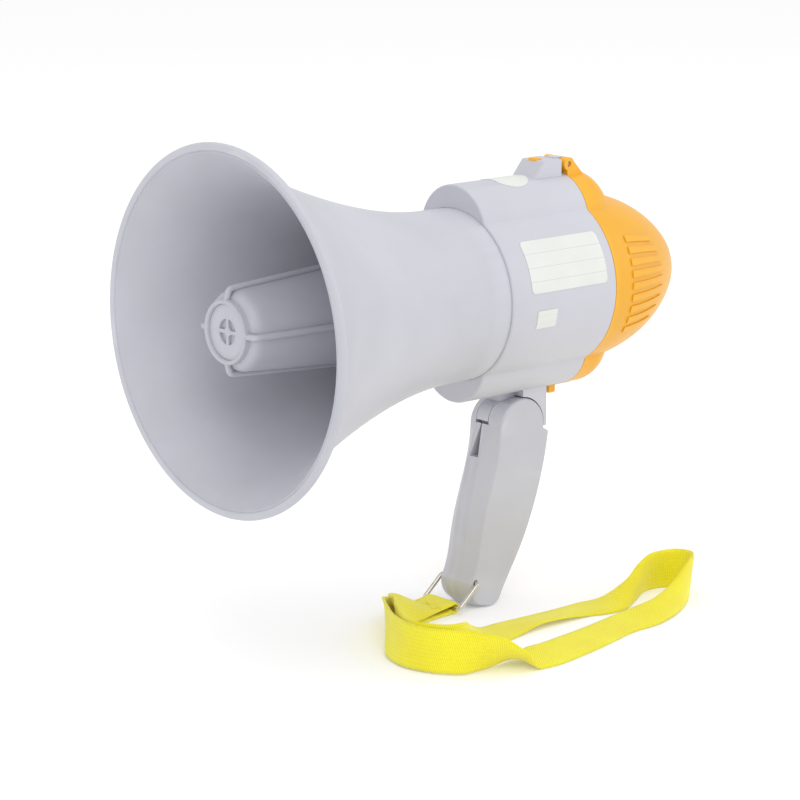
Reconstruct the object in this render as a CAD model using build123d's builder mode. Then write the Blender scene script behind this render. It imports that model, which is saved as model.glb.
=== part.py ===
from build123d import *
import math
import os

# A handheld megaphone: a flared horn on a round body with a battery lobe above and below it,
# a hinged rear cover that holds the electronics, and a pistol handle that folds under the horn.
#
# Row frame: +X runs from the mouth to the rear, +Z is up, and the origin lies under the middle
# of the length, on the surface that the handle's foot touches.
# Outlines are drawn in horn coordinates: s is the distance behind the mouth, and r or z the
# height above the horn's axis.

# ---- driving dimensions, mm ----
length = 238.5
axis_z = 138.5
mouth_x = -length / 2

mouth_r = 76.0
neck_r = 37.0
bell_wall = 2.2
lip_r = 1.8
bell_rear = 130.0

body_front = 124.0
body_rear = 184.0
body_r = 38.0
lobe_r = 20.5
lobe_z = 26.5
wall = 2.0
blend_r = 2.0
seam = 0.3

cell_r = 7.2
cell_y = 7.5
cell_z = 34.6
cell_front = 134.0
cell_length = 49.2
nub_r = 2.7
nub_length = 1.2

hinge_s = 185.3
hinge_z = 50.6
hinge_pin_r = 1.25
knuckle_r = 2.9
knuckle_in = 3.3
knuckle_out = 7.0

cover_front = body_rear + seam
cap_rear = 203.5
cap_fillet = 12.0
cup_r = 17.0
cup_floor = 231.5

fold_s = 149.5
fold_z = -57.5
fold_pin_r = 2.0
shoulder_r = 8.0
tongue_y = 3.7
slot_y = 4.05
arch_s = 156.4
arch_z = -61.5
arch_r = 12.9
handle_y = 10.0
handle_wall = 2.2

ring_s = 129.2
ring_z = -126.3
ring_wire_r = 1.0
ring_y = 11.6
bar_s = 118.4
bar_z = -135.6

strap_width = 18.0
strap_layer = 1.6
floor_z = -axis_z

os.makedirs("parts", exist_ok=True)

side = Plane(origin=(mouth_x, 0, axis_z), x_dir=(1, 0, 0), z_dir=(0, -1, 0))
horn_axis = Axis((mouth_x, 0, axis_z), (1, 0, 0))


def across(s):
    """The plane square to the horn's axis at s: its x is the row's Y and its y is up."""
    return Plane(origin=(mouth_x + s, 0, axis_z), x_dir=(0, 1, 0), z_dir=(1, 0, 0))


def beside(y):
    """The side plane moved to a row Y, with s to the right and z up."""
    return side.offset(-y)


def cross_axis(s, z):
    """The line along the row's Y through a point of the side plane."""
    return Axis((mouth_x + s, 0, axis_z + z), (0, 1, 0))


def save(part, name):
    part.label = name
    export_step(part, f"parts/{name}.step")


def moved_in(points, depth):
    """An outline's points moved towards the axis by a wall's thickness."""
    moved = []
    for i, (s, r) in enumerate(points):
        before = points[max(i - 1, 0)]
        after = points[min(i + 1, len(points) - 1)]
        slope = math.atan2(after[1] - before[1], after[0] - before[0])
        moved.append((s + depth * math.sin(slope), r - depth * math.cos(slope)))
    return moved


def body_outline(inset=0.0):
    """The round body with its two battery lobes, inside the active sketch."""
    Circle(body_r - inset)
    with Locations((0, lobe_z), (0, -lobe_z)):
        Circle(lobe_r - inset)


def cylinder_between(s0, s1, radius, y=0.0, z=0.0, mode=Mode.ADD):
    """A round bar along the horn's axis, inside the active part."""
    with BuildSketch(across(s0)) as outline:
        with Locations((y, z)):
            Circle(radius)
    extrude(outline.sketch, amount=s1 - s0, mode=mode)


def ring_between(s0, s1, outer, inner, y=0.0, z=0.0):
    """A round tube along the horn's axis, inside the active part."""
    with BuildSketch(across(s0)) as outline:
        with Locations((y, z)):
            Circle(outer)
            Circle(inner, mode=Mode.SUBTRACT)
    extrude(outline.sketch, amount=s1 - s0)


def bar_across(s, z, radius, y0, y1, mode=Mode.ADD):
    """A round bar along the row's Y, inside the active part."""
    with BuildSketch(beside(y0)) as outline:
        with Locations((s, z)):
            Circle(radius)
    extrude(outline.sketch, amount=y0 - y1, mode=mode)


def block(s, y, z, mode=Mode.ADD):
    """A box from (low, high) pairs along the axis, across and up, inside the active part."""
    with BuildSketch(across(s[0])) as outline:
        with Locations(((y[0] + y[1]) / 2, (z[0] + z[1]) / 2)):
            Rectangle(y[1] - y[0], z[1] - z[0])
    extrude(outline.sketch, amount=s[1] - s[0], mode=mode)


# ---- horn ----
lip_s = lip_r - 0.35
bell_outline = [(1.4, 74.2), (18.0, 62.8), (40.0, 53.0), (65.0, 44.6), (92.0, 38.6), (116.0, neck_r)]
bell_inside = [(0.3, 71.8)] + moved_in(bell_outline, bell_wall)[1:-1]
ledge_front = 105.5
ledge_rear = 107.8
neck_in_r = neck_r - bell_wall

with BuildPart() as horn_bell:
    with BuildSketch(side):
        with BuildLine():
            outside = Spline(*bell_outline)
            Polyline(
                outside @ 1,
                (bell_rear, neck_r),
                (bell_rear, neck_in_r),
                (ledge_rear, neck_in_r),
                (ledge_rear, neck_in_r - 2.3),
                (ledge_front, neck_in_r - 2.3),
                (ledge_front, neck_in_r + 0.3),
            )
            inside = Spline(*bell_inside, (ledge_front, neck_in_r + 0.3))
            Line(inside @ 0, outside @ 0)
        make_face()
        with Locations((lip_s, mouth_r - lip_r)):
            Circle(lip_r)
        with Locations((-lip_r, mouth_r)):
            Rectangle(2 * lip_r, 6 * lip_r, mode=Mode.SUBTRACT)
    revolve(axis=horn_axis)
save(horn_bell.part, "horn_bell")

bowl_front = 2.0
bowl_rear = 88.0
bowl_wall = 1.6
ring_out = 13.3
ring_in = 11.4
shoulder = (10.5, 17.0)
bowl_rear_r = 22.3
rib_r = 1.3
plate_front = 108.0
plate_rear = 111.0

with BuildPart() as reflector_bowl:
    with BuildSketch(side):
        with BuildLine():
            front = Polyline((5.0, 0), (5.0, ring_in), (bowl_front + 0.4, ring_in))
            bead = ThreePointArc(
                front @ 1,
                (bowl_front - 0.4, (ring_in + ring_out) / 2),
                (bowl_front + 0.6, ring_out),
            )
            neck = Line(bead @ 1, (4.6, ring_out + 0.1))
            curve = Spline(neck @ 1, shoulder, tangents=[(0.3, 1), (1, 0.07)])
            Polyline(
                curve @ 1,
                (bowl_rear, bowl_rear_r),
                (bowl_rear, bowl_rear_r - bowl_wall),
                (shoulder[0] + 1, shoulder[1] - bowl_wall),
                (6.6, ring_in),
                (6.6, 0),
                (5.0, 0),
            )
        make_face()
    revolve(axis=horn_axis)
    rib_slope = (bowl_rear_r - shoulder[1]) / (bowl_rear - shoulder[0])
    rib_end = plate_front - 0.12
    for turn in range(4):
        rib_plane = side.rotated((90 * turn, 0, 0), ordering=Extrinsic.XYZ)
        with BuildLine(rib_plane):
            rib = FilletPolyline(
                (3.2, ring_out - 0.8),
                (4.4, shoulder[1] + 0.3),
                (rib_end, shoulder[1] + 0.4 + rib_slope * (rib_end - shoulder[0])),
                radius=2.4,
            )
        with BuildSketch(Plane(origin=rib @ 0, z_dir=rib % 0)):
            Circle(rib_r)
        sweep()
save(reflector_bowl.part, "reflector_bowl")

petal_out = 5.3
petal_in = 1.9
with BuildPart() as bowl_cap:
    cylinder_between(3.4, 4.95, ring_in - 0.1)
    with BuildSketch(across(3.4)):
        Circle(petal_out)
        Circle(petal_in, mode=Mode.SUBTRACT)
        Rectangle(1.5, 3 * petal_out, mode=Mode.SUBTRACT)
        Rectangle(3 * petal_out, 1.5, mode=Mode.SUBTRACT)
    extrude(amount=1.2, mode=Mode.SUBTRACT)
save(bowl_cap.part, "bowl_cap")

tube_r = 8.0
bore_r = 6.4
screw_ring = 27.5
with BuildPart() as tone_tube:
    cylinder_between(plate_front, plate_rear, neck_in_r - 0.2)
    cylinder_between(24.0, plate_front, tube_r)
    cylinder_between(23.0, plate_rear + 1, bore_r, mode=Mode.SUBTRACT)
    with BuildSketch(across(plate_rear)):
        with PolarLocations(screw_ring, 4, start_angle=45):
            Circle(1.5)
    extrude(amount=-2.4, mode=Mode.SUBTRACT)
save(tone_tube.part, "tone_tube")

# ---- compression driver, front to rear ----
with BuildPart() as driver_gasket:
    ring_between(plate_rear, 112.0, 24.0, 9.0)
save(driver_gasket.part, "driver_gasket")

with BuildPart() as driver_cover:
    cylinder_between(112.0, 114.5, 31.0)
    cylinder_between(114.5, 120.0, 24.0)
    cylinder_between(115.0, 120.5, 20.4, mode=Mode.SUBTRACT)
    cylinder_between(111.0, 116.0, bore_r, mode=Mode.SUBTRACT)
    with BuildSketch(across(112.0)):
        with PolarLocations(screw_ring, 4, start_angle=45):
            Circle(1.6)
    extrude(amount=2.5, mode=Mode.SUBTRACT)
save(driver_cover.part, "driver_cover")

with BuildPart() as driver_screws:
    with BuildSketch(across(plate_rear - 2.2)):
        with PolarLocations(screw_ring, 4, start_angle=45):
            Circle(1.4)
    extrude(amount=114.5 - plate_rear + 2.2)
    with BuildSketch(across(114.5)):
        with PolarLocations(screw_ring, 4, start_angle=45):
            Circle(2.7)
    extrude(amount=1.8)
    with BuildSketch(across(115.5)):
        with PolarLocations(screw_ring, 4, start_angle=45):
            Rectangle(3.6, 0.6)
            Rectangle(0.6, 3.6)
    extrude(amount=1, mode=Mode.SUBTRACT)
save(driver_screws.part, "driver_screws")

with BuildPart() as diaphragm:
    with BuildSketch(side):
        with BuildLine():
            Polyline(
                (116.6, 0),
                (117.4, 5.0),
                (119.25, 9.0),
                (119.25, 20.2),
                (119.6, 20.2),
                (119.6, 8.7),
                (117.8, 4.9),
                (117.0, 0),
                close=True,
            )
        make_face()
    revolve(axis=horn_axis)
save(diaphragm.part, "diaphragm")

with BuildPart() as voice_coil:
    ring_between(119.65, 125.0, 9.6, 9.0)
save(voice_coil.part, "voice_coil")

with BuildPart() as top_plate:
    ring_between(120.05, 123.0, 24.0, 10.1)
save(top_plate.part, "top_plate")

with BuildPart() as ring_magnet:
    ring_between(123.05, 131.95, 22.5, 12.0)
save(ring_magnet.part, "ring_magnet")

with BuildPart() as pole_yoke:
    cylinder_between(132.0, 135.0, 21.0)
    cylinder_between(120.1, 132.0, 8.5)
    chamfer(pole_yoke.edges().group_by(Axis.X)[-1], length=0.8)
save(pole_yoke.part, "pole_yoke")

# ---- body ----
hump_front = 164.0
hump_top = 53.2
hump_rear = 181.2
bracket_front = 157.3
bracket_rear = 171.2
bracket_low = -62.6
bracket_y = 9.0
notch_y = 4.5
notch_front = 177.4
plug_s = (169.8, 173.0)

with BuildPart() as body_housing:
    with BuildSketch(across(body_front)):
        body_outline()
        fillet(vertices(), radius=blend_r)
    extrude(amount=body_rear - body_front)
    fillet(edges().group_by(Axis.X)[0], radius=0.8)
    # hinge hump on the top lobe, and the barrel that the cover's knuckles sit beside
    with BuildSketch(side):
        Polygon(
            (hump_front, 45.8),
            (hump_front + 6.2, hump_top),
            (hump_rear, hump_top),
            (hump_rear, 45.8),
            align=None,
        )
    extrude(amount=knuckle_out, both=True)
    hump_edges = edges().filter_by(lambda e: e.center().Z > axis_z + 47.5)
    fillet(hump_edges, radius=0.9)
    block((hump_rear - 1, hinge_s), (-3.0, 3.0), (47.7, hinge_z + knuckle_r))
    bar_across(hinge_s, hinge_z, knuckle_r, -3.0, 3.0)
    # pivot tongue for the handle, flush with the handle's shoulder
    with BuildSketch(side):
        with Locations((fold_s, fold_z)):
            Circle(shoulder_r - 0.1)
        with Locations((fold_s + shoulder_r, fold_z)):
            Rectangle(2 * shoulder_r, 3 * shoulder_r, mode=Mode.SUBTRACT)
        with Locations((fold_s, fold_z - shoulder_r)):
            Rectangle(3 * shoulder_r, 2 * shoulder_r, mode=Mode.SUBTRACT)
        with Locations((fold_s, fold_z)):
            Circle(5.5)
        Polygon(
            (fold_s - 1.2, -44.0),
            (bracket_front, -44.0),
            (bracket_front, -52.5),
            (fold_s + 5.2, fold_z + 1.6),
            (fold_s, fold_z),
            (fold_s - 1.2, fold_z + shoulder_r - 0.3),
            align=None,
        )
    extrude(amount=tongue_y, both=True)
    # bracket that backs the handle's rounded top
    with BuildSketch(side):
        Polygon(
            (bracket_front, -43.5),
            (bracket_rear, -43.5),
            (bracket_rear, bracket_low),
            (bracket_front, bracket_low),
            align=None,
        )
        with Locations((arch_s, arch_z)):
            Circle(arch_r + 0.5, mode=Mode.SUBTRACT)
    extrude(amount=bracket_y, both=True)
    # hollow, open at the rear
    with BuildSketch(across(body_front + wall)):
        body_outline(wall)
    extrude(amount=body_rear - body_front, mode=Mode.SUBTRACT)
    cylinder_between(body_front - 1, bell_rear + 0.1, neck_r + 0.1, mode=Mode.SUBTRACT)
    # bores for the hinge pin and the fold pin, the latch notch and the plug's pocket
    bar_across(hinge_s, hinge_z, hinge_pin_r + 0.05, -4.0, 4.0, mode=Mode.SUBTRACT)
    bar_across(fold_s, fold_z, fold_pin_r + 0.06, -5.0, 5.0, mode=Mode.SUBTRACT)
    block((notch_front, body_rear + 1), (-notch_y, notch_y), (-49.0, -43.0), mode=Mode.SUBTRACT)
    block((plug_s[0] - 0.05, plug_s[1] + 0.05), (-2.55, 2.55), (51.0, 55.0), mode=Mode.SUBTRACT)
save(body_housing.part, "body_housing")

with BuildPart() as hump_plug:
    block(plug_s, (-2.5, 2.5), (51.05, 54.0))
    fillet(edges().group_by(Axis.Z)[-1], radius=0.6)
save(hump_plug.part, "hump_plug")

# ---- blank labels, thin patches on the body ----
label_skin = 0.2


def arc_patch(s0, s1, angle0, angle1, corner):
    """A rounded patch wrapped round the near side of the body, between two angles above level."""
    z0 = body_r * math.sin(math.radians(angle0))
    z1 = body_r * math.sin(math.radians(angle1))
    ring_between(s0 - 1, s1 + 1, body_r + 0.02 + label_skin, body_r + 0.02)
    with BuildSketch(beside(-10)) as outline:
        with Locations(((s0 + s1) / 2, (z0 + z1) / 2)):
            RectangleRounded(s1 - s0, z1 - z0, corner)
    extrude(outline.sketch, amount=2 * body_r, mode=Mode.INTERSECT)


with BuildPart() as side_label:
    arc_patch(135.0, 179.0, 6.0, 41.0, 2.0)
save(side_label.part, "side_label")

with BuildPart() as rating_label:
    arc_patch(138.4, 149.6, -17.5, -5.5, 0.6)
save(rating_label.part, "rating_label")

with BuildPart() as top_label:
    ring_between(145.0, 175.0, lobe_r + 0.02 + label_skin, lobe_r + 0.02, z=lobe_z)
    with BuildSketch(Plane.XY.offset(axis_z + 35)):
        with Locations((mouth_x + 153.4, 0)):
            Circle(10.2)
    extrude(amount=20, mode=Mode.INTERSECT)
save(top_label.part, "top_label")

# ---- batteries and their trays ----
tray_front = 130.3
tray_y = 15.9


def battery_tray(up):
    """A tray that holds two cells side by side; up is 1 in the top lobe and -1 in the bottom one."""
    low, floor = sorted((up * 26.0, up * 27.1))
    block((tray_front, 183.5), (-tray_y, tray_y), (low, floor))
    side_low, side_high = sorted((up * 26.0, up * 33.0))
    for y in (-tray_y, tray_y - 1.0):
        block((tray_front, 183.5), (y, y + 1.0), (side_low, side_high))
    low, high = sorted((up * 26.0, up * 40.0))
    block((tray_front, tray_front + 1.5), (-12.0, 12.0), (low, high))


with BuildPart() as battery_tray_top:
    battery_tray(1)
save(battery_tray_top.part, "battery_tray_top")

with BuildPart() as battery_tray_bottom:
    battery_tray(-1)
save(battery_tray_bottom.part, "battery_tray_bottom")

cells = {
    "battery_top_left": (-cell_y, cell_z),
    "battery_top_right": (cell_y, cell_z),
    "battery_bottom_left": (-cell_y, -cell_z),
    "battery_bottom_right": (cell_y, -cell_z),
}
for cell_name, (y, z) in cells.items():
    with BuildPart() as cell:
        cylinder_between(cell_front, cell_front + cell_length, cell_r, y, z)
        chamfer(edges(), length=0.5)
        cylinder_between(cell_front + cell_length, cell_front + cell_length + nub_length, nub_r, y, z)
    save(cell.part, cell_name)

spring_s = tray_front + 1.85
spring_r = 3.4
spring_wire = 0.25
with BuildPart() as contact_springs:
    for y, z in cells.values():
        centre = (mouth_x + spring_s, y, axis_z + z)
        with BuildLine():
            coil = Helix(
                pitch=0.75, height=1.5, radius=spring_r, center=centre, direction=(1, 0, 0)
            )
        with BuildSketch(Plane(origin=coil @ 0, z_dir=coil % 0)):
            Circle(spring_wire)
        sweep(is_frenet=True)
save(contact_springs.part, "contact_springs")

with BuildPart() as contact_plates:
    for up in (1, -1):
        with BuildSketch(across(184.9)):
            with Locations((0, up * cell_z)):
                SlotOverall(24.0, 8.0)
        extrude(amount=0.35)
save(contact_plates.part, "contact_plates")

lead_r = 0.7
with BuildPart() as speaker_leads:
    for y in (-3.0, 3.0):
        with BuildLine(beside(y)):
            lead = FilletPolyline((135.1, 13.0), (144.0, 14.0), (160.0, 6.0), (175.9, 8.0), radius=8)
        with BuildSketch(Plane(origin=lead @ 0, z_dir=lead % 0)):
            Circle(lead_r)
        sweep()
save(speaker_leads.part, "speaker_leads")

with BuildPart() as lead_plug:
    block((176.0, 183.0), (-5.0, 5.0), (5.5, 10.5))
    fillet(edges().filter_by(Axis.X), radius=0.6)
save(lead_plug.part, "lead_plug")

# ---- rear cover ----
dome_outline = [
    (cover_front, body_r),
    (200.0, 36.6),
    (216.5, 32.0),
    (229.5, 25.2),
    (length - 0.4, cup_r + 1.7),
]
dome_inside = moved_in(dome_outline, wall)
dome_inside[0] = (cover_front, body_r - wall)
dome_inside[-1] = (233.0, 20.0)


rib_count = 9
rib_pitch = 8.0
rib_angle = 4.6
rib_start = 195.0
rib_short = 13.0
rib_more = 12.0
rib_spread = 36.0
rib_proud = 0.6
mic_z = 8.2
mic_r = 5.5
knob_z = -8.0
knob_r = 5.2
shaft_r = 1.6
button_y = 9.8
button_z = 2.0
button_r = 2.2
slide_z = 0.6
post_ring = 19.4
post_angle = 90


def lobe_cap(z, s0, s1, radius, corner, mode=Mode.ADD):
    """A round cap on a lobe's axis with its rear edge rounded, inside the active part."""
    with BuildSketch(side) as outline:
        with Locations((s0, z)):
            Rectangle(s1 - s0, radius, align=Align.MIN)
        fillet(outline.vertices().sort_by(lambda v: v.X + v.Y)[-1], radius=corner)
    revolve(outline.sketch, axis=Axis((mouth_x, 0, axis_z + z), (1, 0, 0)), mode=mode)


with BuildPart() as rear_cover:
    with BuildSketch(side):
        with BuildLine():
            outside = Spline(*dome_outline)
            lip = ThreePointArc(outside @ 1, (length, cup_r + 0.8), (length - 0.4, cup_r))
            Polyline(lip @ 1, (length - 0.4, 0), (cover_front, 0), outside @ 0)
        make_face()
    revolve(axis=horn_axis)
    for z in (lobe_z, -lobe_z):
        lobe_cap(z, cover_front, cap_rear, lobe_r, cap_fillet)
    # inside: the dome and the caps are hollow, and the caps keep a wall behind the contacts
    with BuildSketch(side):
        with BuildLine():
            inner = Spline(*dome_inside)
            Polyline(
                inner @ 1,
                (cup_floor - wall, 19.0),
                (cup_floor - wall, 0),
                (cover_front, 0),
                inner @ 0,
            )
        make_face()
    revolve(axis=horn_axis, mode=Mode.SUBTRACT)
    for z in (lobe_z, -lobe_z):
        lobe_cap(
            z, cover_front + 2.6, cap_rear - wall, lobe_r - wall, cap_fillet - wall, Mode.SUBTRACT
        )
    with BuildSketch(across(cover_front)):
        with Locations((0, cell_z), (0, -cell_z)):
            SlotOverall(26.0, 10.0)
    extrude(amount=1.0, mode=Mode.SUBTRACT)
    # knuckles beside the body's hinge barrel, and their arms down to the top cap
    for y0, y1 in ((-knuckle_out, -knuckle_in), (knuckle_in, knuckle_out)):
        with BuildSketch(beside(y0)):
            with Locations((hinge_s, hinge_z)):
                Circle(knuckle_r)
            Polygon(
                (cover_front, 45.0),
                (cover_front, hinge_z),
                (hinge_s + 1.2, hinge_z + knuckle_r - 0.3),
                (hinge_s + 8.0, 46.0),
                (hinge_s + 8.0, 45.0),
                align=None,
            )
        extrude(amount=y0 - y1)
    # mouthpiece cup in the rear face, with its openings
    cylinder_between(cup_floor, length + 1, cup_r, mode=Mode.SUBTRACT)
    cylinder_between(cup_floor - 3, length, mic_r + 0.1, 0, mic_z, mode=Mode.SUBTRACT)
    cylinder_between(cup_floor - 3, length, shaft_r + 0.5, 0, knob_z, mode=Mode.SUBTRACT)
    for y in (-button_y, button_y):
        cylinder_between(cup_floor - 3, length, button_r + 0.3, y, button_z, mode=Mode.SUBTRACT)
    block(
        (cup_floor - 3, length), (-4.4, 4.4), (slide_z - 1.3, slide_z + 1.3), mode=Mode.SUBTRACT
    )
    # posts for the circuit board
    with BuildSketch(across(224.05)):
        with PolarLocations(post_ring, 3, start_angle=post_angle):
            Circle(2.4)
    extrude(until=Until.NEXT)
    with BuildSketch(across(224.0)):
        with PolarLocations(post_ring, 3, start_angle=post_angle):
            Circle(1.05)
    extrude(amount=5, mode=Mode.SUBTRACT)
    # slot for the sliding latch, through the bottom cap's wall
    block((cover_front - 1, 194.5), (-notch_y, notch_y), (-49.0, -43.0), mode=Mode.SUBTRACT)
    # grip ribs down both sides
    for centre in (0, 180):
        for k in range(rib_count):
            angle = (k - (rib_count - 1) / 2) * rib_pitch
            rib_length = rib_short + rib_more * math.sqrt(1 - (angle / rib_spread) ** 2)
            rib_plane = side.rotated(
                (centre + 90 + angle - rib_angle / 2, 0, 0), ordering=Extrinsic.XYZ
            )
            with BuildSketch(rib_plane):
                with BuildLine():
                    crest = Spline(*moved_in(dome_outline, -rib_proud))
                    root = Spline(*moved_in(dome_outline, wall / 2))
                    Line(crest @ 0, root @ 0)
                    Line(crest @ 1, root @ 1)
                make_face()
                with Locations((rib_start, 0)):
                    Rectangle(
                        rib_length, 2 * body_r, align=(Align.MIN, Align.MIN), mode=Mode.INTERSECT
                    )
            revolve(axis=horn_axis, revolution_arc=rib_angle)
    # bore for the hinge pin
    bar_across(hinge_s, hinge_z, hinge_pin_r + 0.02, -8.0, 8.0, mode=Mode.SUBTRACT)
save(rear_cover.part, "rear_cover")

with BuildPart() as hinge_pin:
    bar_across(hinge_s, hinge_z, hinge_pin_r, -knuckle_out + 1.0, knuckle_out - 1.0)
save(hinge_pin.part, "hinge_pin")

tab_s = (178.2, 181.9)
with BuildPart() as cover_latch:
    block((tab_s[0], 190.0), (-4.0, 4.0), (-46.9, -44.0))
    block((175.8, 191.0), (-2.9, 2.9), (-44.1, -43.0))
    block(tab_s, (-3.2, 3.2), (-50.6, -46.9))
    tab_edges = edges().group_by(Axis.Z)[0]
    fillet(tab_edges, radius=0.8)
save(cover_latch.part, "cover_latch")

# ---- electronics in the rear cover ----
board_front = 222.4
board_rear = 224.0
board_r = 23.6
with BuildPart() as amplifier_board:
    cylinder_between(board_front, board_rear, board_r)
    with BuildSketch(across(board_front)):
        with PolarLocations(post_ring, 3, start_angle=post_angle):
            Circle(1.3)
    extrude(amount=board_rear - board_front, mode=Mode.SUBTRACT)
save(amplifier_board.part, "amplifier_board")

with BuildPart() as board_screws:
    with BuildSketch(across(board_front - 1.2)):
        with PolarLocations(post_ring, 3, start_angle=post_angle):
            Circle(2.0)
    extrude(amount=1.2)
    with BuildSketch(across(board_front)):
        with PolarLocations(post_ring, 3, start_angle=post_angle):
            Circle(1.0)
    extrude(amount=5.5)
save(board_screws.part, "board_screws")

with BuildPart() as board_components:
    block((board_front - 8.0, board_front), (-11.0, 11.0), (-3.0, -1.0))
    block((board_front - 3.2, board_front), (-9.0, -2.0), (2.0, 12.0))
    block((board_front - 2.0, board_front), (2.0, 9.0), (-13.0, -6.0))
    for y, z, r, tall in ((7.0, 6.5, 4.0, 11.0), (-7.5, -9.0, 3.2, 8.0), (14.0, 2.0, 2.5, 6.0)):
        cylinder_between(board_front - tall, board_front, r, y, z)
save(board_components.part, "board_components")

with BuildPart() as mic_holder:
    ring_between(board_rear, cup_floor - wall, mic_r + 0.5, mic_r - 0.5, 0, mic_z)
save(mic_holder.part, "mic_holder")

with BuildPart() as mic_capsule:
    cylinder_between(225.5, 229.8, mic_r - 0.55, 0, mic_z)
save(mic_capsule.part, "mic_capsule")

with BuildPart() as mic_grille:
    cylinder_between(230.0, 231.2, mic_r, 0, mic_z)
    with BuildSketch(across(230.0)):
        with Locations((0, mic_z)):
            with HexLocations(0.95, 5, 5):
                Circle(0.55)
    extrude(amount=1.2, mode=Mode.SUBTRACT)
save(mic_grille.part, "mic_grille")

with BuildPart() as volume_pot:
    block((board_rear, 228.0), (-5.0, 5.0), (knob_z - 5.0, knob_z + 4.0))
    cylinder_between(228.0, 228.8, 3.0, 0, knob_z)
save(volume_pot.part, "volume_pot")

with BuildPart() as volume_knob:
    cylinder_between(cup_floor + 0.4, cup_floor + 4.6, knob_r, 0, knob_z)
    fillet(edges().group_by(Axis.X)[-1], radius=0.6)
    with BuildSketch(across(cup_floor + 1.2)):
        with Locations((0, knob_z)):
            with PolarLocations(knob_r + 0.15, 18):
                Circle(0.4)
    extrude(amount=5, mode=Mode.SUBTRACT)
    block(
        (cup_floor + 4.2, cup_floor + 6), (-0.4, 0.4), (knob_z + 1.5, knob_z + 6), mode=Mode.SUBTRACT
    )
    cylinder_between(229.1, cup_floor + 0.4, shaft_r, 0, knob_z)
save(volume_knob.part, "volume_knob")

with BuildPart() as mode_switch:
    block((board_rear, 227.6), (-6.4, 6.4), (slide_z - 1.8, slide_z + 0.6))
save(mode_switch.part, "mode_switch")

with BuildPart() as mode_slider:
    block((227.9, cup_floor + 1.4), (-4.1, -0.9), (slide_z - 1.0, slide_z + 1.0))
    fillet(edges().group_by(Axis.X)[-1], radius=0.4)
save(mode_slider.part, "mode_slider")

for button_name, y in (("record_button", -button_y), ("play_button", button_y)):
    with BuildPart() as button:
        cylinder_between(228.2, cup_floor + 1.8, button_r, y, button_z)
        fillet(edges().group_by(Axis.X)[-1], radius=0.5)
        cylinder_between(228.2, 229.1, button_r + 0.9, y, button_z)
    save(button.part, button_name)

with BuildPart() as button_switches:
    for y in (-button_y, button_y):
        block((board_rear, 226.0), (y - 3.0, y + 3.0), (button_z - 3.0, button_z + 3.0))
        cylinder_between(226.0, 226.9, 1.6, y, button_z)
save(button_switches.part, "button_switches")

# ---- handle ----
# Two outlines per half: the crown down the middle of the front, and the raised side panel, which
# is set back from it, furthest at the top. The surface between them is ruled.
crown_y = 3.7
crown_line = [
    (141.55, -58.0),
    (137.3, -71.5),
    (132.6, -88.0),
    (128.8, -107.0),
    (127.0, -119.0),
    (124.2, -125.5),
    (125.6, -132.8),
    (130.0, -137.2),
]
panel_line = [
    (143.6, -60.4),
    (142.2, -73.0),
    (137.6, -88.5),
    (132.5, -107.0),
    (130.1, -119.0),
    (127.0, -126.4),
    (127.6, -132.2),
    (131.2, -136.6),
]
rear_line = [(148.9, -126.6), (156.8, -113.3), (163.8, -97.7), (169.5, -79.5), (172.2, -65.2)]
toe_from = 5
foot_rear = (138.0, floor_z)
shelf = (169.2, -63.4)
arch_top = (arch_s, arch_z + arch_r)
arch_meets_shoulder = (151.35, -49.72)
crown_shoulder = (143.6, -52.1)
panel_shoulder = (146.0, -53.95)
cheek_s = (138.0, 157.8)
hollow_outline = [
    (157.8, -66.0),
    (157.8, -51.2),
    (163.6, -54.0),
    (166.8, -59.6),
    (167.4, -64.6),
    (169.7, -66.4),
    (167.2, -79.0),
    (161.6, -97.0),
    (154.8, -112.3),
    (146.9, -125.6),
    (143.0, -132.4),
    (137.8, -136.2),
    (132.6, -135.0),
    (129.5, -128.0),
    (132.3, -118.7),
    (134.8, -106.5),
    (139.9, -88.0),
    (144.4, -72.6),
    (145.6, -66.0),
]
slot_tip_z = -57.3
slot_low_z = -73.0
slot_half = 2.55
trigger_s = 143.2
trigger_z = -64.8
trigger_pin_r = 0.6
screw_points = [(161.0, -72.0), (150.0, -100.0), (138.5, -127.5)]


def handle_outline(front, shoulder):
    """The handle's outline from the side for one front line, inside the active line builder."""
    nose = Spline(*front[: toe_from + 1])
    toe = Spline(*front[toe_from:])
    sole = Line(toe @ 1, foot_rear)
    heel = ThreePointArc(sole @ 1, (142.6, -136.9), (145.0, -133.2))
    back = Spline(heel @ 1, *rear_line)
    step = Line(back @ 1, shelf)
    rear_arch = ThreePointArc(step @ 1, (arch_s + 9.2, arch_z + 9.04), arch_top)
    front_arch = ThreePointArc(rear_arch @ 1, (153.8, -48.87), arch_meets_shoulder)
    ThreePointArc(front_arch @ 1, shoulder, nose @ 0)


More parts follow.
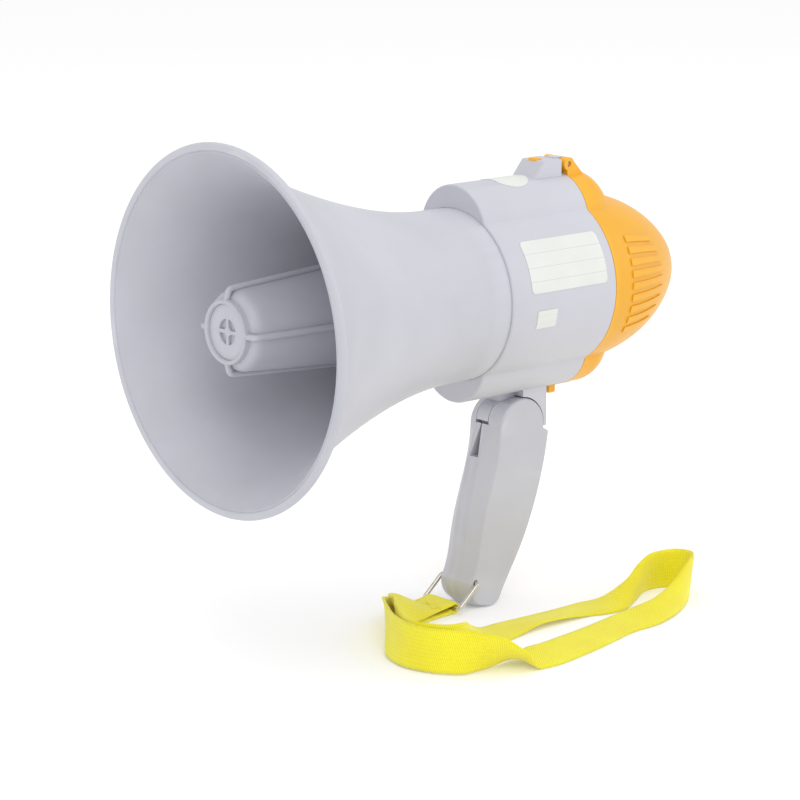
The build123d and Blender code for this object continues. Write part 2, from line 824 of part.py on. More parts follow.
for half_name, sign in (("handle_left", -1), ("handle_right", 1)):
    with BuildPart() as half:
        with BuildSketch(side, mode=Mode.PRIVATE) as middle:
            with BuildLine():
                handle_outline(crown_line, crown_shoulder)
            make_face()
        with BuildSketch(beside(sign * crown_y), mode=Mode.PRIVATE) as crown:
            with BuildLine():
                handle_outline(crown_line, crown_shoulder)
            make_face()
        with BuildSketch(beside(sign * handle_y), mode=Mode.PRIVATE) as panel:
            with BuildLine():
                handle_outline(panel_line, panel_shoulder)
            make_face()
        loft([crown.sketch.face(), panel.sketch.face()], ruled=True)
        panel_face = faces().sort_by(Axis.Y)[0 if sign < 0 else -1]
        fillet(panel_face.edges(), radius=1.2)
        extrude(middle.sketch, amount=-sign * crown_y)
        # hollow, but solid round the fold pin and the trigger's pin
        with BuildSketch(side):
            Polygon(*hollow_outline, align=None)
        extrude(amount=-sign * (handle_y - handle_wall), mode=Mode.SUBTRACT)
        # room for the body's tongue
        with BuildSketch(side):
            with Locations((fold_s, fold_z)):
                Circle(shoulder_r + 0.3)
            with Locations(((cheek_s[0] + cheek_s[1]) / 2, fold_z + 10.0)):
                Rectangle(cheek_s[1] - cheek_s[0], 20.0)
        extrude(amount=-sign * slot_y, mode=Mode.SUBTRACT)
        # trigger slot, which narrows upwards
        with BuildSketch(across(130.0)):
            Polygon(
                (0, slot_tip_z), (slot_half, slot_low_z), (-slot_half, slot_low_z), align=None
            )
        extrude(amount=17.0, mode=Mode.SUBTRACT)
        bar_across(fold_s, fold_z, fold_pin_r + 0.02, 0, sign * 8.6, mode=Mode.SUBTRACT)
        bar_across(trigger_s, trigger_z, trigger_pin_r + 0.02, 0, sign * 3.2, mode=Mode.SUBTRACT)
        bar_across(ring_s, ring_z, ring_wire_r + 0.3, 0, sign * 12.0, mode=Mode.SUBTRACT)
        # screw bosses, with the heads sunk in the far half
        for s, z in screw_points:
            bar_across(s, z, 3.0, 0, sign * (handle_y - 1.5))
            if sign > 0:
                bar_across(s, z, 1.55, 0, sign * 12.0, mode=Mode.SUBTRACT)
                bar_across(s, z, 2.6, sign * 8.0, sign * 12.0, mode=Mode.SUBTRACT)
            else:
                bar_across(s, z, 1.3, 0, sign * 6.6, mode=Mode.SUBTRACT)
    save(half.part, half_name)

with BuildPart() as handle_screws:
    for s, z in screw_points:
        bar_across(s, z, 2.4, 8.0, 9.4)
        bar_across(s, z, 1.25, -6.4, 8.0)
        with BuildSketch(beside(8.8)):
            with Locations((s, z)):
                Rectangle(3.2, 0.6)
                Rectangle(0.6, 3.2)
        extrude(amount=-1, mode=Mode.SUBTRACT)
save(handle_screws.part, "handle_screws")

with BuildPart() as fold_pin:
    bar_across(fold_s, fold_z, fold_pin_r, -8.5, 8.5)
save(fold_pin.part, "fold_pin")

trigger_front = 141.9
trigger_back = 145.0
with BuildPart() as trigger:
    with BuildSketch(side):
        Polygon(
            (trigger_front, -60.8),
            (trigger_front, -72.2),
            (trigger_back, -72.2),
            (trigger_back, -66.4),
            (144.5, -65.0),
            (142.6, -62.6),
            align=None,
        )
    extrude(amount=slot_half, both=True)
    with BuildSketch(across(trigger_front - 1)):
        Polygon((0, slot_tip_z - 1.6), (2.1, -72.3), (-2.1, -72.3), align=None)
    extrude(amount=6, mode=Mode.INTERSECT)
    bar_across(trigger_s, trigger_z, trigger_pin_r + 0.05, -3, 3, mode=Mode.SUBTRACT)
save(trigger.part, "trigger")

with BuildPart() as trigger_pin:
    bar_across(trigger_s, trigger_z, trigger_pin_r, -3.1, 3.1)
save(trigger_pin.part, "trigger_pin")

switch_front = 147.4
with BuildPart() as trigger_spring:
    centre = (mouth_x + trigger_back + 0.3, 0, axis_z - 68.8)
    with BuildLine():
        coil = Helix(pitch=0.6, height=1.8, radius=1.0, center=centre, direction=(1, 0, 0))
    with BuildSketch(Plane(origin=coil @ 0, z_dir=coil % 0)):
        Circle(0.15)
    sweep(is_frenet=True)
save(trigger_spring.part, "trigger_spring")

with BuildPart() as micro_switch:
    block((switch_front, switch_front + 6.0), (-3.2, 3.2), (-80.0, -67.0))
    cylinder_between(switch_front - 1.2, switch_front, 0.8, 0, -71.2)
save(micro_switch.part, "micro_switch")

with BuildPart() as d_ring:
    with BuildLine():
        ring_path = FilletPolyline(
            *[
                (mouth_x + s, y, axis_z + z)
                for s, y, z in (
                    (ring_s, -5.8, ring_z),
                    (ring_s, -ring_y, ring_z),
                    (bar_s, -ring_y, bar_z),
                    (bar_s, ring_y, bar_z),
                    (ring_s, ring_y, ring_z),
                    (ring_s, 5.8, ring_z),
                )
            ],
            radius=1.6,
        )
    with BuildSketch(Plane(origin=ring_path @ 0, z_dir=ring_path % 0)):
        Circle(ring_wire_r)
    sweep()
save(d_ring.part, "d_ring")

# ---- strap: webbing sewn round the ring's bar, then a loop that stands on its edge ----
tail_s = 99.5
with BuildPart() as strap_end_loop:
    with BuildSketch(side):
        with Locations((bar_s, bar_z)):
            Circle(ring_wire_r + 0.2 + strap_layer)
        with Locations(((bar_s + tail_s) / 2, bar_z - 0.9)):
            Rectangle(bar_s - tail_s, 2 * strap_layer)
        with Locations((bar_s, bar_z)):
            Circle(ring_wire_r + 0.2, mode=Mode.SUBTRACT)
    extrude(amount=strap_width / 2, both=True)
save(strap_end_loop.part, "strap_end_loop")

strap_route = [
    (98.9, -2.0),
    (86.0, -7.0),
    (70.0, -16.0),
    (60.0, -30.0),
    (57.0, -46.0),
    (62.0, -62.0),
    (75.0, -76.0),
    (95.0, -85.0),
    (115.0, -88.5),
    (135.0, -86.0),
    (157.0, -80.0),
    (180.0, -74.0),
    (202.0, -66.0),
    (217.0, -58.0),
    (221.0, -50.0),
    (214.0, -44.0),
    (199.0, -44.5),
    (180.0, -47.5),
    (160.0, -47.0),
    (139.0, -45.5),
    (118.0, -48.5),
    (99.0, -54.0),
    (82.0, -60.0),
    (70.0, -56.0),
    (62.5, -45.0),
    (64.5, -31.0),
    (74.0, -18.5),
    (87.0, -10.0),
    (98.9, -5.0),
]
strap_bends = []
for before, corner, after in zip(strap_route, strap_route[1:], strap_route[2:]):
    run_in = Vector(*corner) - Vector(*before)
    run_out = Vector(*after) - Vector(*corner)
    turn = math.radians(run_in.get_angle(run_out))
    strap_bends.append(0.45 * min(run_in.length, run_out.length) / math.tan(turn / 2))

with BuildPart() as strap:
    with BuildSketch(Plane(origin=(mouth_x, 0, axis_z + floor_z + 0.1))):
        with BuildLine():
            route = FilletPolyline(*strap_route, radius=strap_bends)
        trace(line_width=strap_layer)
    extrude(amount=strap_width)
save(strap.part, "strap")
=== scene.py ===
import math

import bpy
from mathutils import Matrix, Vector


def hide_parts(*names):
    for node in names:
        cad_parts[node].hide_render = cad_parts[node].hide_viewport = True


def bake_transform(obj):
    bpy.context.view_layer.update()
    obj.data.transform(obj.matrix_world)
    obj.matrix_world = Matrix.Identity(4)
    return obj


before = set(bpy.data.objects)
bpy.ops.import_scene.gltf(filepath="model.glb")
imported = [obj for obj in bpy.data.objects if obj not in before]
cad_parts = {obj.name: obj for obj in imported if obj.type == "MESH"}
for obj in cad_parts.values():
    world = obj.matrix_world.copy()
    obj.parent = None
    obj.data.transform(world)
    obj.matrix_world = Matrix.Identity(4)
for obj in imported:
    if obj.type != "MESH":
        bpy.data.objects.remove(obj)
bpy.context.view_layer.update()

# ---- where things are, in metres ----
# s is the distance behind the mouth, and z the height over the horn's axis.
MOUTH_X = -0.11925
AXIS_Z = 0.1385
STRAP_WIDTH = 0.018
STRAP_THICK = 0.0013


def at(s, y, z):
    """A point given in millimetres in horn coordinates, in the row frame."""
    return Vector((MOUTH_X + s / 1000, y / 1000, AXIS_Z + z / 1000))


# ---- camera ----
AZIMUTH = math.radians(-40.96)
ELEVATION = math.radians(12.94)
LENS = 135.0
SENSOR = 36.0
DISTANCE = 1.19356
MOUTH_RIGHT = -0.07141
MOUTH_UP = 0.02658

right = Vector((math.cos(AZIMUTH), math.sin(AZIMUTH), 0))
back = Vector(
    (
        math.sin(AZIMUTH) * math.cos(ELEVATION),
        -math.cos(AZIMUTH) * math.cos(ELEVATION),
        math.sin(ELEVATION),
    )
)
up = back.cross(right)
eye = at(0, 0, 0) - right * MOUTH_RIGHT - up * MOUTH_UP + back * DISTANCE
camera_data = bpy.data.cameras.new("camera")
camera_data.lens = LENS
camera_data.sensor_width = SENSOR
camera_data.clip_start = 0.01
camera = bpy.data.objects.new("camera", camera_data)
bpy.context.scene.collection.objects.link(camera)
turn = Matrix((right, up, back)).transposed().to_4x4()
camera.matrix_world = Matrix.Translation(eye) @ turn
bpy.context.scene.camera = camera

# ---- materials ----


def new_material(name, color, roughness, metallic=0.0, specular=0.5):
    """A node material with its uniform values set on the shader's own sockets."""
    material = bpy.data.materials.new(name)
    material.use_nodes = True
    shader = material.node_tree.nodes["Principled BSDF"]
    shader.inputs["Base Color"].default_value = (*color, 1)
    shader.inputs["Roughness"].default_value = roughness
    shader.inputs["Metallic"].default_value = metallic
    shader.inputs["Specular IOR Level"].default_value = specular
    material.diffuse_color = (*color, 1)
    return material


def node(material, kind, **settings):
    """A node with its settings, or with socket values where the name is a socket's."""
    made = material.node_tree.nodes.new(kind)
    for key, value in settings.items():
        if hasattr(made, key):
            setattr(made, key, value)
        else:
            made.inputs[key.replace("_", " ")].default_value = value
    return made


def link(material, source, target):
    material.node_tree.links.new(source, target)


def noise(material, coordinates, scale, detail=4.0, rough=0.55):
    """A noise texture read at these coordinates."""
    made = node(material, "ShaderNodeTexNoise", Scale=scale, Detail=detail, Roughness=rough)
    link(material, coordinates, made.inputs["Vector"])
    return made.outputs["Fac"]


def ramp(material, value, stops):
    """A colour ramp over a value, from (place, colour) stops."""
    made = node(material, "ShaderNodeValToRGB")
    elements = made.color_ramp.elements
    while len(elements) < len(stops):
        elements.new(0.5)
    for element, (place, color) in zip(elements, stops):
        element.position = place
        element.color = (*color, 1)
    link(material, value, made.inputs["Fac"])
    return made.outputs["Color"]


def span(material, value, low, high, start=0.0, end=1.0):
    """A value mapped from one range to another."""
    made = node(material, "ShaderNodeMapRange")
    made.inputs["From Min"].default_value = start
    made.inputs["From Max"].default_value = end
    made.inputs["To Min"].default_value = low
    made.inputs["To Max"].default_value = high
    link(material, value, made.inputs["Value"])
    return made.outputs["Result"]


def bump(material, height, strength, distance, under=None):
    """A bump over another normal, if there is one."""
    made = node(material, "ShaderNodeBump", Strength=strength, Distance=distance)
    link(material, height, made.inputs["Height"])
    if under is not None:
        link(material, under, made.inputs["Normal"])
    return made.outputs["Normal"]


def shade(color, factor):
    return tuple(min(1.0, c * factor) for c in color)


def moulded(name, color, roughness, specular=0.5, mottle=0.05, grain=0.12, wear=1.18):
    """Moulded plastic: faint colour drift, a fine spark-eroded grain, scuffs and paler edges."""
    material = new_material(name, color, roughness, specular=specular)
    shader = material.node_tree.nodes["Principled BSDF"]
    place = node(material, "ShaderNodeTexCoord").outputs["Object"]
    drift = noise(material, place, 22.0)
    tint = ramp(
        material,
        drift,
        [(0.3, shade(color, 1 - mottle)), (0.7, shade(color, 1 + mottle))],
    )
    shape = node(material, "ShaderNodeNewGeometry").outputs["Pointiness"]
    edge = span(material, shape, 0.0, 0.55, 0.52, 0.6)
    mix = node(material, "ShaderNodeMix", data_type="RGBA")
    link(material, edge, mix.inputs["Factor"])
    link(material, tint, mix.inputs["A"])
    mix.inputs["B"].default_value = (*shade(color, wear), 1)
    link(material, mix.outputs["Result"], shader.inputs["Base Color"])
    scuff = noise(material, place, 90.0, 6.0, 0.7)
    gloss = span(material, scuff, roughness - 0.06, roughness + 0.1)
    link(material, gloss, shader.inputs["Roughness"])
    fine = noise(material, place, 2600.0, 2.0)
    broad = noise(material, place, 35.0, 2.0)
    soft = bump(material, broad, 0.08, 0.0006)
    link(material, bump(material, fine, grain, 0.0001, soft), shader.inputs["Normal"])
    return material


GREY = (0.52, 0.52, 0.575)
YELLOW = (0.82, 0.40, 0.012)
LEMON = (1.0, 0.9, 0.025)
grey_plastic = moulded("grey_plastic", GREY, 0.42)
# The same grey plastic as the bell, made 6% darker for the parts deep inside the bell: painted
# shade, not a different plastic.
painted_shade_grey = moulded("grey_plastic_painted_shade", shade(GREY, 0.94), 0.4)
yellow_plastic = moulded("yellow_plastic", YELLOW, 0.36, mottle=0.04, wear=1.15)
black_plastic = moulded("black_plastic", (0.018, 0.017, 0.022), 0.45, wear=2.2)
white_plastic = moulded("white_plastic", (0.78, 0.77, 0.72), 0.4)
red_plastic = moulded("red_plastic", (0.55, 0.02, 0.015), 0.32)


RULE_HALF_WIDTH = 0.025
RULE_COLOR = (0.6, 0.62, 0.6)


def label_material(name, lines):
    """Blank vinyl with pale ruled lines: (axis, low, high, rows) over the patch's own extent."""
    paper = (0.72, 0.73, 0.70)
    material = new_material(name, paper, 0.3, specular=0.5)
    shader = material.node_tree.nodes["Principled BSDF"]
    place = node(material, "ShaderNodeTexCoord")
    drift = noise(material, place.outputs["Object"], 60.0)
    tint = ramp(material, drift, [(0.3, shade(paper, 0.97)), (0.7, shade(paper, 1.03))])
    parts = node(material, "ShaderNodeSeparateXYZ")
    link(material, place.outputs["Generated"], parts.inputs["Vector"])
    total = None
    for axis, low, high, rows in lines:
        across = span(material, parts.outputs[axis], 0, rows, low, high)
        inside = node(material, "ShaderNodeMath", operation="FRACT")
        link(material, across, inside.inputs[0])
        dark = node(material, "ShaderNodeMath", operation="COMPARE")
        link(material, inside.outputs[0], dark.inputs[0])
        dark.inputs[1].default_value = 0.5
        dark.inputs[2].default_value = RULE_HALF_WIDTH
        if total is None:
            total = dark.outputs[0]
        else:
            most = node(material, "ShaderNodeMath", operation="MAXIMUM")
            link(material, total, most.inputs[0])
            link(material, dark.outputs[0], most.inputs[1])
            total = most.outputs[0]
    mix = node(material, "ShaderNodeMix", data_type="RGBA")
    link(material, total, mix.inputs["Factor"])
    link(material, tint, mix.inputs["A"])
    mix.inputs["B"].default_value = (*RULE_COLOR, 1)
    link(material, mix.outputs["Result"], shader.inputs["Base Color"])
    link(material, bump(material, drift, 0.05, 0.0002), shader.inputs["Normal"])
    return material


side_print = label_material("side_label_vinyl", [("Z", 0.1, 0.9, 3)])
small_print = label_material("rating_label_vinyl", [("Z", 0.1, 0.9, 2)])
plain_vinyl = label_material("top_label_vinyl", [("Y", 0.02, 0.98, 1)])


def metal(name, color, roughness, stretch=1.0, depth=0.12):
    """Bare metal with drawn or turned marks and slightly uneven gloss."""
    material = new_material(name, color, roughness, metallic=1.0)
    shader = material.node_tree.nodes["Principled BSDF"]
    place = node(material, "ShaderNodeTexCoord").outputs["Object"]
    mapping = node(material, "ShaderNodeMapping")
    mapping.inputs["Scale"].default_value = (1, stretch, 1)
    link(material, place, mapping.inputs["Vector"])
    marks = noise(material, mapping.outputs["Vector"], 900.0, 4.0)
    tint = ramp(material, marks, [(0.25, shade(color, 0.85)), (0.75, shade(color, 1.1))])
    link(material, tint, shader.inputs["Base Color"])
    gloss = span(material, marks, roughness - 0.08, roughness + 0.12)
    link(material, gloss, shader.inputs["Roughness"])
    link(material, bump(material, marks, depth, 0.0001), shader.inputs["Normal"])
    return material


steel = metal("steel", (0.62, 0.61, 0.59), 0.32)
wire_steel = metal("steel_wire", (0.66, 0.62, 0.55), 0.2, 0.1, depth=0.02)
copper = metal("copper", (0.7, 0.28, 0.12), 0.35)
ferrite = moulded("ferrite", (0.03, 0.03, 0.032), 0.6)
board_green = moulded("board_green", (0.015, 0.12, 0.04), 0.35)
cell_jacket = moulded("cell_jacket", (0.05, 0.05, 0.06), 0.3)
lead_red = moulded("lead_red", (0.4, 0.01, 0.01), 0.4)
film = moulded("film", (0.4, 0.34, 0.22), 0.25)
foam = moulded("foam", (0.02, 0.02, 0.02), 0.9)


RIB_PITCH = 0.0009
THREAD_PITCH = 0.0016
RIB_LEAN = 0.35


def webbing_material():
    """Woven strap: leaning ribs across the width, threads along it, and a sheen of fine fibre."""
    material = new_material("webbing", LEMON, 0.62, specular=0.3)
    shader = material.node_tree.nodes["Principled BSDF"]
    shader.inputs["Sheen Weight"].default_value = 0.25
    shader.inputs["Sheen Roughness"].default_value = 0.5
    shader.inputs["Subsurface Weight"].default_value = 0.08
    shader.inputs["Subsurface Scale"].default_value = 0.002
    cloth = node(material, "ShaderNodeUVMap", uv_map="strap")
    place = node(material, "ShaderNodeTexCoord").outputs["Object"]
    parts = node(material, "ShaderNodeSeparateXYZ")
    link(material, cloth.outputs["UV"], parts.inputs["Vector"])

    def threads(value, pitch):
        """A row of rounded threads along a length in metres."""
        scaled = node(material, "ShaderNodeMath", operation="MULTIPLY")
        link(material, value, scaled.inputs[0])
        scaled.inputs[1].default_value = 2 * math.pi / pitch
        wave = node(material, "ShaderNodeMath", operation="SINE")
        link(material, scaled.outputs[0], wave.inputs[0])
        return span(material, wave.outputs[0], 0, 1, -1.0, 1.0)

    lean = node(material, "ShaderNodeMath", operation="MULTIPLY_ADD")
    link(material, parts.outputs["Y"], lean.inputs[0])
    lean.inputs[1].default_value = RIB_LEAN
    link(material, parts.outputs["X"], lean.inputs[2])
    ribs = threads(lean.outputs[0], RIB_PITCH)
    warp = threads(parts.outputs["Y"], THREAD_PITCH)
    weave = node(material, "ShaderNodeMath", operation="MULTIPLY")
    link(material, ribs, weave.inputs[0])
    link(material, warp, weave.inputs[1])
    height = node(material, "ShaderNodeMath", operation="ADD")
    link(material, weave.outputs[0], height.inputs[0])
    link(material, ribs, height.inputs[1])
    drift = noise(material, place, 60.0)
    tint = ramp(material, drift, [(0.3, shade(LEMON, 0.95)), (0.7, shade(LEMON, 1.05))])
    dark = span(material, height.outputs[0], 0.0, 1.0, 0.0, 1.6)
    mix = node(material, "ShaderNodeMix", data_type="RGBA", blend_type="MULTIPLY")
    mix.inputs["Factor"].default_value = 1.0
    link(material, tint, mix.inputs["A"])
    gaps = ramp(material, dark, [(0.0, (0.88, 0.85, 0.7)), (1.0, (1, 1, 1))])
    link(material, gaps, mix.inputs["B"])
    link(material, mix.outputs["Result"], shader.inputs["Base Color"])
    fuzz = noise(material, place, 3000.0, 3.0)
    woven = bump(material, height.outputs[0], 0.45, 0.0003)
    link(material, bump(material, fuzz, 0.15, 0.0001, woven), shader.inputs["Normal"])
    return material


webbing = webbing_material()
thread = moulded("strap_thread", (0.85, 0.68, 0.01), 0.55)

FINISH = {
    "horn_bell": grey_plastic,
    # The bell's inner parts take the darker copy of the grey: painted shade inside the bell.
    "reflector_bowl": painted_shade_grey,
    "bowl_cap": painted_shade_grey,
    "tone_tube": painted_shade_grey,
    "driver_gasket": foam,
    "driver_cover": black_plastic,
    "driver_screws": steel,
    "diaphragm": film,
    "voice_coil": copper,
    "top_plate": steel,
    "ring_magnet": ferrite,
    "pole_yoke": steel,
    "body_housing": grey_plastic,
    "hump_plug": yellow_plastic,
    "side_label": side_print,
    "rating_label": small_print,
    "top_label": plain_vinyl,
    "battery_tray_top": black_plastic,
    "battery_tray_bottom": black_plastic,
    "battery_top_left": cell_jacket,
    "battery_top_right": cell_jacket,
    "battery_bottom_left": cell_jacket,
    "battery_bottom_right": cell_jacket,
    "contact_springs": steel,
    "speaker_leads": lead_red,
    "lead_plug": white_plastic,
    "hinge_pin": steel,
    "rear_cover": yellow_plastic,
    "contact_plates": steel,
    "amplifier_board": board_green,
    "board_components": black_plastic,
    "board_screws": steel,
    "mic_grille": black_plastic,
    "mic_holder": black_plastic,
    "mic_capsule": steel,
    "volume_pot": steel,
    "mode_switch": steel,
    "button_switches": black_plastic,
    "cover_latch": yellow_plastic,
    "volume_knob": black_plastic,
    "mode_slider": black_plastic,
    "record_button": red_plastic,
    "play_button": black_plastic,
    "handle_left": grey_plastic,
    "handle_right": grey_plastic,
    "handle_screws": steel,
    "fold_pin": steel,
    "trigger_pin": steel,
    "trigger_spring": steel,
    "micro_switch": black_plastic,
    "trigger": black_plastic,
    "d_ring": wire_steel,
}
for name, material in FINISH.items():
    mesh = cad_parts[name].data
    mesh.materials.clear()
    mesh.materials.append(material)

# ---- strap ----
# Each station gives both edges of the band at one place, as (s, y, height over the floor) in mm.
# The strap leaves the ring flat, stands on edge round the bend, turns half over on the near run,
# stands again at the far end, and comes back inside the bend.
FLOOR = -138.5
STATIONS = [
    ((110.0, -9.0, 0.8), (110.0, 9.0, 0.8)),
    ((104.0, -10.0, 0.8), (104.0, 7.5, 4.0)),
    ((98.0, -11.0, 0.8), (98.0, 5.5, 7.5)),
    ((91.0, -12.0, 0.6), (91.0, 3.0, 10.4)),
    ((84.0, -14.0, 0.6), (84.0, -0.8, 12.6)),
    ((76.0, -18.0, 0.6), (78.0, -8.5, 15.4)),
    ((68.5, -23.0, 0.6), (72.0, -16.5, 16.8)),
    ((62.5, -28.0, 0.6), (66.5, -24.5, 17.4)),
    ((56.0, -37.0, 0.6), (60.0, -36.0, 17.8)),
    ((53.0, -50.0, 0.6), (56.0, -50.0, 17.8)),
    ((56.0, -63.0, 0.6), (58.0, -62.0, 18.0)),
    ((63.5, -73.0, 0.6), (65.5, -71.5, 17.8)),
    ((73.0, -74.5, 0.7), (70.0, -78.5, 17.4)),
    ((80.0, -74.0, 0.8), (78.0, -84.0, 15.0)),
    ((88.0, -72.5, 1.5), (86.0, -88.5, 8.5)),
    ((97.0, -71.5, 3.0), (93.0, -89.0, 0.8)),
    ((111.0, -73.0, 4.6), (105.0, -89.5, 0.7)),
    ((139.0, -68.5, 4.3), (132.0, -84.5, 0.7)),
    ((165.0, -63.0, 4.0), (157.0, -78.0, 0.7)),
    ((184.0, -63.0, 6.5), (174.0, -77.5, 0.7)),
    ((199.0, -60.0, 10.0), (190.0, -72.0, 0.7)),
    ((213.0, -57.0, 14.5), (208.0, -61.0, 0.7)),
    ((221.0, -51.0, 17.0), (217.0, -51.0, 0.7)),
    ((219.0, -43.0, 17.6), (215.0, -41.5, 0.7)),
    ((209.0, -40.0, 16.8), (204.0, -39.5, 0.7)),
    ((199.0, -40.0, 12.5), (191.0, -46.0, 0.7)),
    ((189.0, -41.0, 7.5), (179.0, -52.0, 0.7)),
    ((178.0, -38.0, 2.5), (168.0, -52.0, 0.7)),
    ((167.0, -33.5, 0.9), (159.0, -49.5, 0.9)),
    ((152.0, -33.5, 0.8), (144.0, -49.5, 2.6)),
    ((136.0, -33.0, 0.8), (130.0, -49.5, 2.8)),
    ((120.0, -34.0, 1.5), (116.0, -51.0, 1.0)),
    ((107.0, -37.0, 3.0), (103.0, -54.5, 0.7)),
    ((95.0, -44.0, 8.0), (92.0, -59.5, 0.7)),
    ((84.0, -55.5, 13.0), (83.0, -67.5, 0.7)),
    ((75.0, -62.0, 17.0), (74.5, -67.5, 0.7)),
    ((67.0, -62.5, 18.0), (65.5, -64.5, 0.7)),
    ((61.5, -56.0, 18.0), (59.5, -57.0, 0.7)),
    ((59.5, -48.0, 18.0), (56.5, -48.5, 0.7)),
    ((63.5, -36.5, 18.0), (60.0, -37.5, 0.7)),
    ((72.5, -22.5, 17.2), (70.0, -27.5, 0.9)),
    ((80.0, -13.0, 16.2), (78.5, -21.0, 1.4)),
    ((84.8, -3.8, 14.4), (84.8, -16.6, 2.2)),
    ((91.0, 1.6, 12.5), (91.0, -13.4, 2.8)),
    ((98.0, 4.6, 9.8), (98.0, -11.9, 3.1)),
    ((104.0, 7.1, 6.6), (104.0, -10.4, 3.4)),
    ((110.0, 9.0, 3.5), (110.0, -9.0, 3.5)),
]
STEPS = 9


def smooth_row(points, steps):
    """Points on a Catmull-Rom curve through the given ones, with equal steps between each pair."""
    padded = [points[0] * 2 - points[1], *points, points[-1] * 2 - points[-2]]
    row = []
    for a, b, c, d in zip(padded, padded[1:], padded[2:], padded[3:]):
        for k in range(steps):
            t = k / steps
            row.append(
                0.5
                * (
                    2 * b
                    + (c - a) * t
                    + (2 * a - 5 * b + 4 * c - d) * t * t
                    + (3 * b - a - 3 * c + d) * t**3
                )
            )
    row.append(points[-1].copy())
    return row


def ribbon(name, middles, widths, thick, material, across=12):
    """A closed flat band along its middle line: widths are unit vectors across it."""
    vertices, faces, uvs = [], [], []
    gone = 0.0
    ring = 2 * (across + 1)
    lengths = [0.0]
    for i in range(1, len(middles)):
        gone += (middles[i] - middles[i - 1]).length
        lengths.append(gone)
    for i, (middle, width) in enumerate(zip(middles, widths)):
        ahead = middles[min(i + 1, len(middles) - 1)] - middles[max(i - 1, 0)]
        face = ahead.cross(width).normalized()
        for side in (1, -1):
            for j in range(across + 1):
                v = (j / across - 0.5) * side
                rim = 0.25 + 0.75 * min(1.0, 9 * (0.5 - abs(v)) + 0.3)
                out = face * (side * thick / 2 * rim)
                vertices.append(middle + width * (v * STRAP_WIDTH) + out)
    for i in range(len(middles) - 1):
        for j in range(ring):
            k = (j + 1) % ring
            a, b = i * ring + j, i * ring + k
            faces.append((a, b, b + ring, a + ring))
    faces.append(tuple(reversed(range(ring))))
    faces.append(tuple(range((len(middles) - 1) * ring, len(middles) * ring)))
    mesh = bpy.data.meshes.new(name)
    mesh.from_pydata([tuple(v) for v in vertices], [], faces)
    layer = mesh.uv_layers.new(name="strap")
    for polygon in mesh.polygons:
        polygon.use_smooth = True
        for corner in polygon.loop_indices:
            index = mesh.loops[corner].vertex_index
            i, j = divmod(index, ring)
            j = j if j <= across else ring - 1 - j
            layer.data[corner].uv = (lengths[i], j / across * STRAP_WIDTH)
    mesh.materials.append(material)
    made = bpy.data.objects.new(name, mesh)
    bpy.context.scene.collection.objects.link(made)
    return made


edge_points = []
other_points = []
for (s0, y0, height0), (s1, y1, height1) in STATIONS:
    edge_points.append(at(s0, y0, FLOOR + height0))
    other_points.append(at(s1, y1, FLOOR + height1))
edge_row = smooth_row(edge_points, STEPS)
other_row = smooth_row(other_points, STEPS)
middle_row = [(a + b) / 2 for a, b in zip(edge_row, other_row)]
width_row = [(b - a).normalized() for a, b in zip(edge_row, other_row)]
LOWEST = 0.0007
for i, (middle, width) in enumerate(zip(middle_row, width_row)):
    reach = middle.z - abs(width.z) * STRAP_WIDTH / 2
    if reach < LOWEST:
        middle.z += LOWEST - reach
strap = ribbon("strap_webbing", middle_row, width_row, STRAP_THICK, webbing)

# ---- the sewn end round the ring's bar ----
BAR_S = 118.4
BAR_Z = -135.6
LOOP_R = 1.95
SIDE = Vector((0, 1, 0))
LOW_LEVEL = FLOOR + 0.8
HIGH_LEVEL = FLOOR + 3.5
end_line = [(109.6, HIGH_LEVEL), (113.5, HIGH_LEVEL + 0.5)]
for k in range(11):
    angle = math.radians(115 - 25 * k)
    end_line.append((BAR_S + LOOP_R * math.cos(angle), BAR_Z + LOOP_R * math.sin(angle)))
end_line += [(114.5, FLOOR + 1.0), (109.6, LOW_LEVEL)]
end_middles = smooth_row([at(s, 0, z) for s, z in end_line], 4)
end_piece = ribbon("strap_end", end_middles, [SIDE] * len(end_middles), STRAP_THICK, webbing)

# Box stitch with its cross, proud of the upper layer
STITCH_TOP = HIGH_LEVEL + STRAP_THICK * 500 + 0.1
STITCH_S = (107.0, 114.0)
STITCH_Y = 7.0
STITCH_R = 0.00022
STITCH_COUNT = 9
STITCH_RINGS = 5
STITCH_SIDES = 6


def stitch_run(start, end, count, vertices, faces):
    """A row of short raised stitches between two (s, y) points."""
    first = at(start[0], start[1], STITCH_TOP)
    last = at(end[0], end[1], STITCH_TOP)
    along = (last - first) / count
    side_way = along.cross(Vector((0, 0, 1))).normalized() * STITCH_R
    for k in range(count):
        base = first + along * (k + 0.12)
        size = len(vertices)
        for i in range(STITCH_RINGS):
            t = i / (STITCH_RINGS - 1)
            lift = math.sin(math.pi * t) * 0.8 * STITCH_R
            centre = base + along * (0.76 * t) + Vector((0, 0, lift))
            slim = 0.45 + 0.55 * math.sin(math.pi * t)
            for j in range(STITCH_SIDES):
                a = math.tau * j / STITCH_SIDES
                vertices.append(
                    centre
                    + side_way * (math.cos(a) * slim)
                    + Vector((0, 0, STITCH_R * math.sin(a) * slim))
                )
        for i in range(STITCH_RINGS - 1):
            start_of_ring = size + i * STITCH_SIDES
            for j in range(STITCH_SIDES):
                a, b = start_of_ring + j, start_of_ring + (j + 1) % STITCH_SIDES
                faces.append((a, b, b + STITCH_SIDES, a + STITCH_SIDES))
        last_ring = size + (STITCH_RINGS - 1) * STITCH_SIDES
        faces.append(tuple(size + j for j in reversed(range(STITCH_SIDES))))
        faces.append(tuple(last_ring + j for j in range(STITCH_SIDES)))


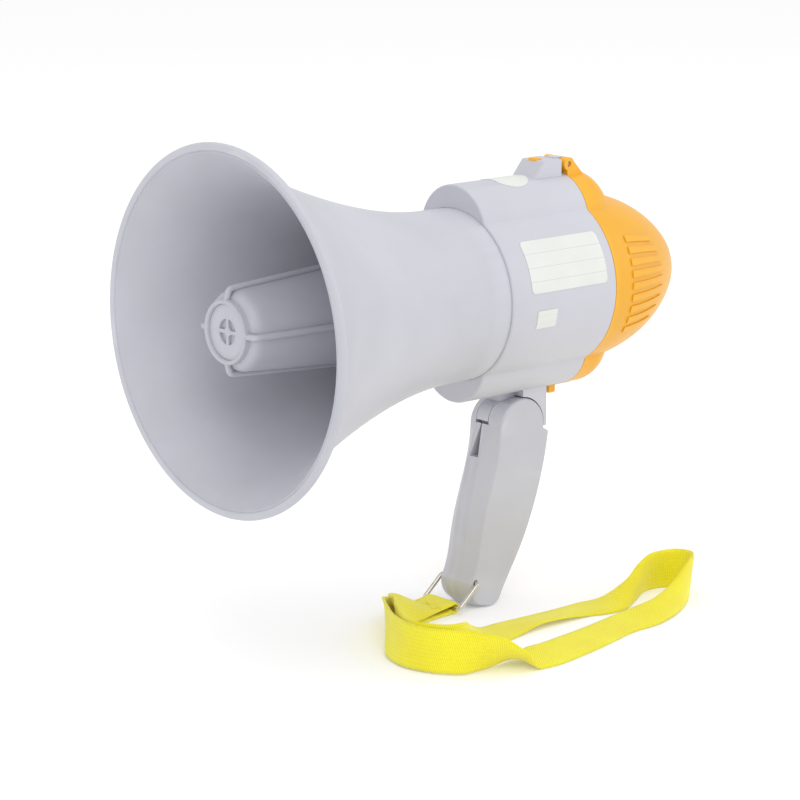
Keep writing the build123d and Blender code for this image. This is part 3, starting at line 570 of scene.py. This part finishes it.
stitch_vertices, stitch_faces = [], []
corners = [
    (STITCH_S[0], -STITCH_Y),
    (STITCH_S[1], -STITCH_Y),
    (STITCH_S[1], STITCH_Y),
    (STITCH_S[0], STITCH_Y),
]
for start, end in zip(corners, corners[1:] + corners[:1]):
    stitch_run(start, end, STITCH_COUNT, stitch_vertices, stitch_faces)
stitch_run(corners[0], corners[2], STITCH_COUNT + 3, stitch_vertices, stitch_faces)
stitch_run(corners[1], corners[3], STITCH_COUNT + 3, stitch_vertices, stitch_faces)
stitch_mesh = bpy.data.meshes.new("strap_stitches")
stitch_mesh.from_pydata([tuple(v) for v in stitch_vertices], [], stitch_faces)
stitch_mesh.materials.append(thread)
for polygon in stitch_mesh.polygons:
    polygon.use_smooth = True
stitches = bpy.data.objects.new("strap_stitches", stitch_mesh)
bpy.context.scene.collection.objects.link(stitches)

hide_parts("strap")
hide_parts("strap_end_loop")
for piece in (end_piece, stitches):
    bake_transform(piece)
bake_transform(strap)

# ---- floor and light ----
floor_mesh = bpy.data.meshes.new("floor")
REACH = 6.0
floor_corners = [(-REACH, -REACH, 0), (REACH, -REACH, 0), (REACH, REACH, 0), (-REACH, REACH, 0)]
floor_mesh.from_pydata(floor_corners, [], [(0, 1, 2, 3)])
floor = bpy.data.objects.new("floor", floor_mesh)
floor_white = new_material("floor_white", (0.9, 0.9, 0.9), 0.9, specular=0.0)
floor_shader = floor_white.node_tree.nodes["Principled BSDF"]
floor_shader.inputs["Emission Color"].default_value = (1, 1, 1, 1)
floor_shader.inputs["Emission Strength"].default_value = 0.14
floor.data.materials.append(floor_white)
bpy.context.scene.collection.objects.link(floor)


def softbox(name, place, target, size, power):
    """A square area light that looks at a point."""
    data = bpy.data.lights.new(name, "AREA")
    data.size = size
    data.energy = power
    lamp = bpy.data.objects.new(name, data)
    way = Vector(target) - Vector(place)
    lamp.rotation_euler = way.to_track_quat("-Z", "Y").to_euler()
    lamp.location = place
    bpy.context.scene.collection.objects.link(lamp)


softbox("key", (-0.9, -1.3, 1.5), (0, 0, 0.12), 1.2, 7)
softbox("top", (0.2, 0.1, 1.6), (0, 0, 0.1), 1.4, 4)
softbox("fill", (1.5, -0.9, 0.7), (0, 0, 0.12), 1.2, 3)
world = bpy.data.worlds.new("studio")
world.use_nodes = True
world.node_tree.nodes["Background"].inputs["Color"].default_value = (1, 1, 1, 1)
world.node_tree.nodes["Background"].inputs["Strength"].default_value = 0.9
bpy.context.scene.world = world
bpy.context.scene.view_settings.view_transform = "Standard"
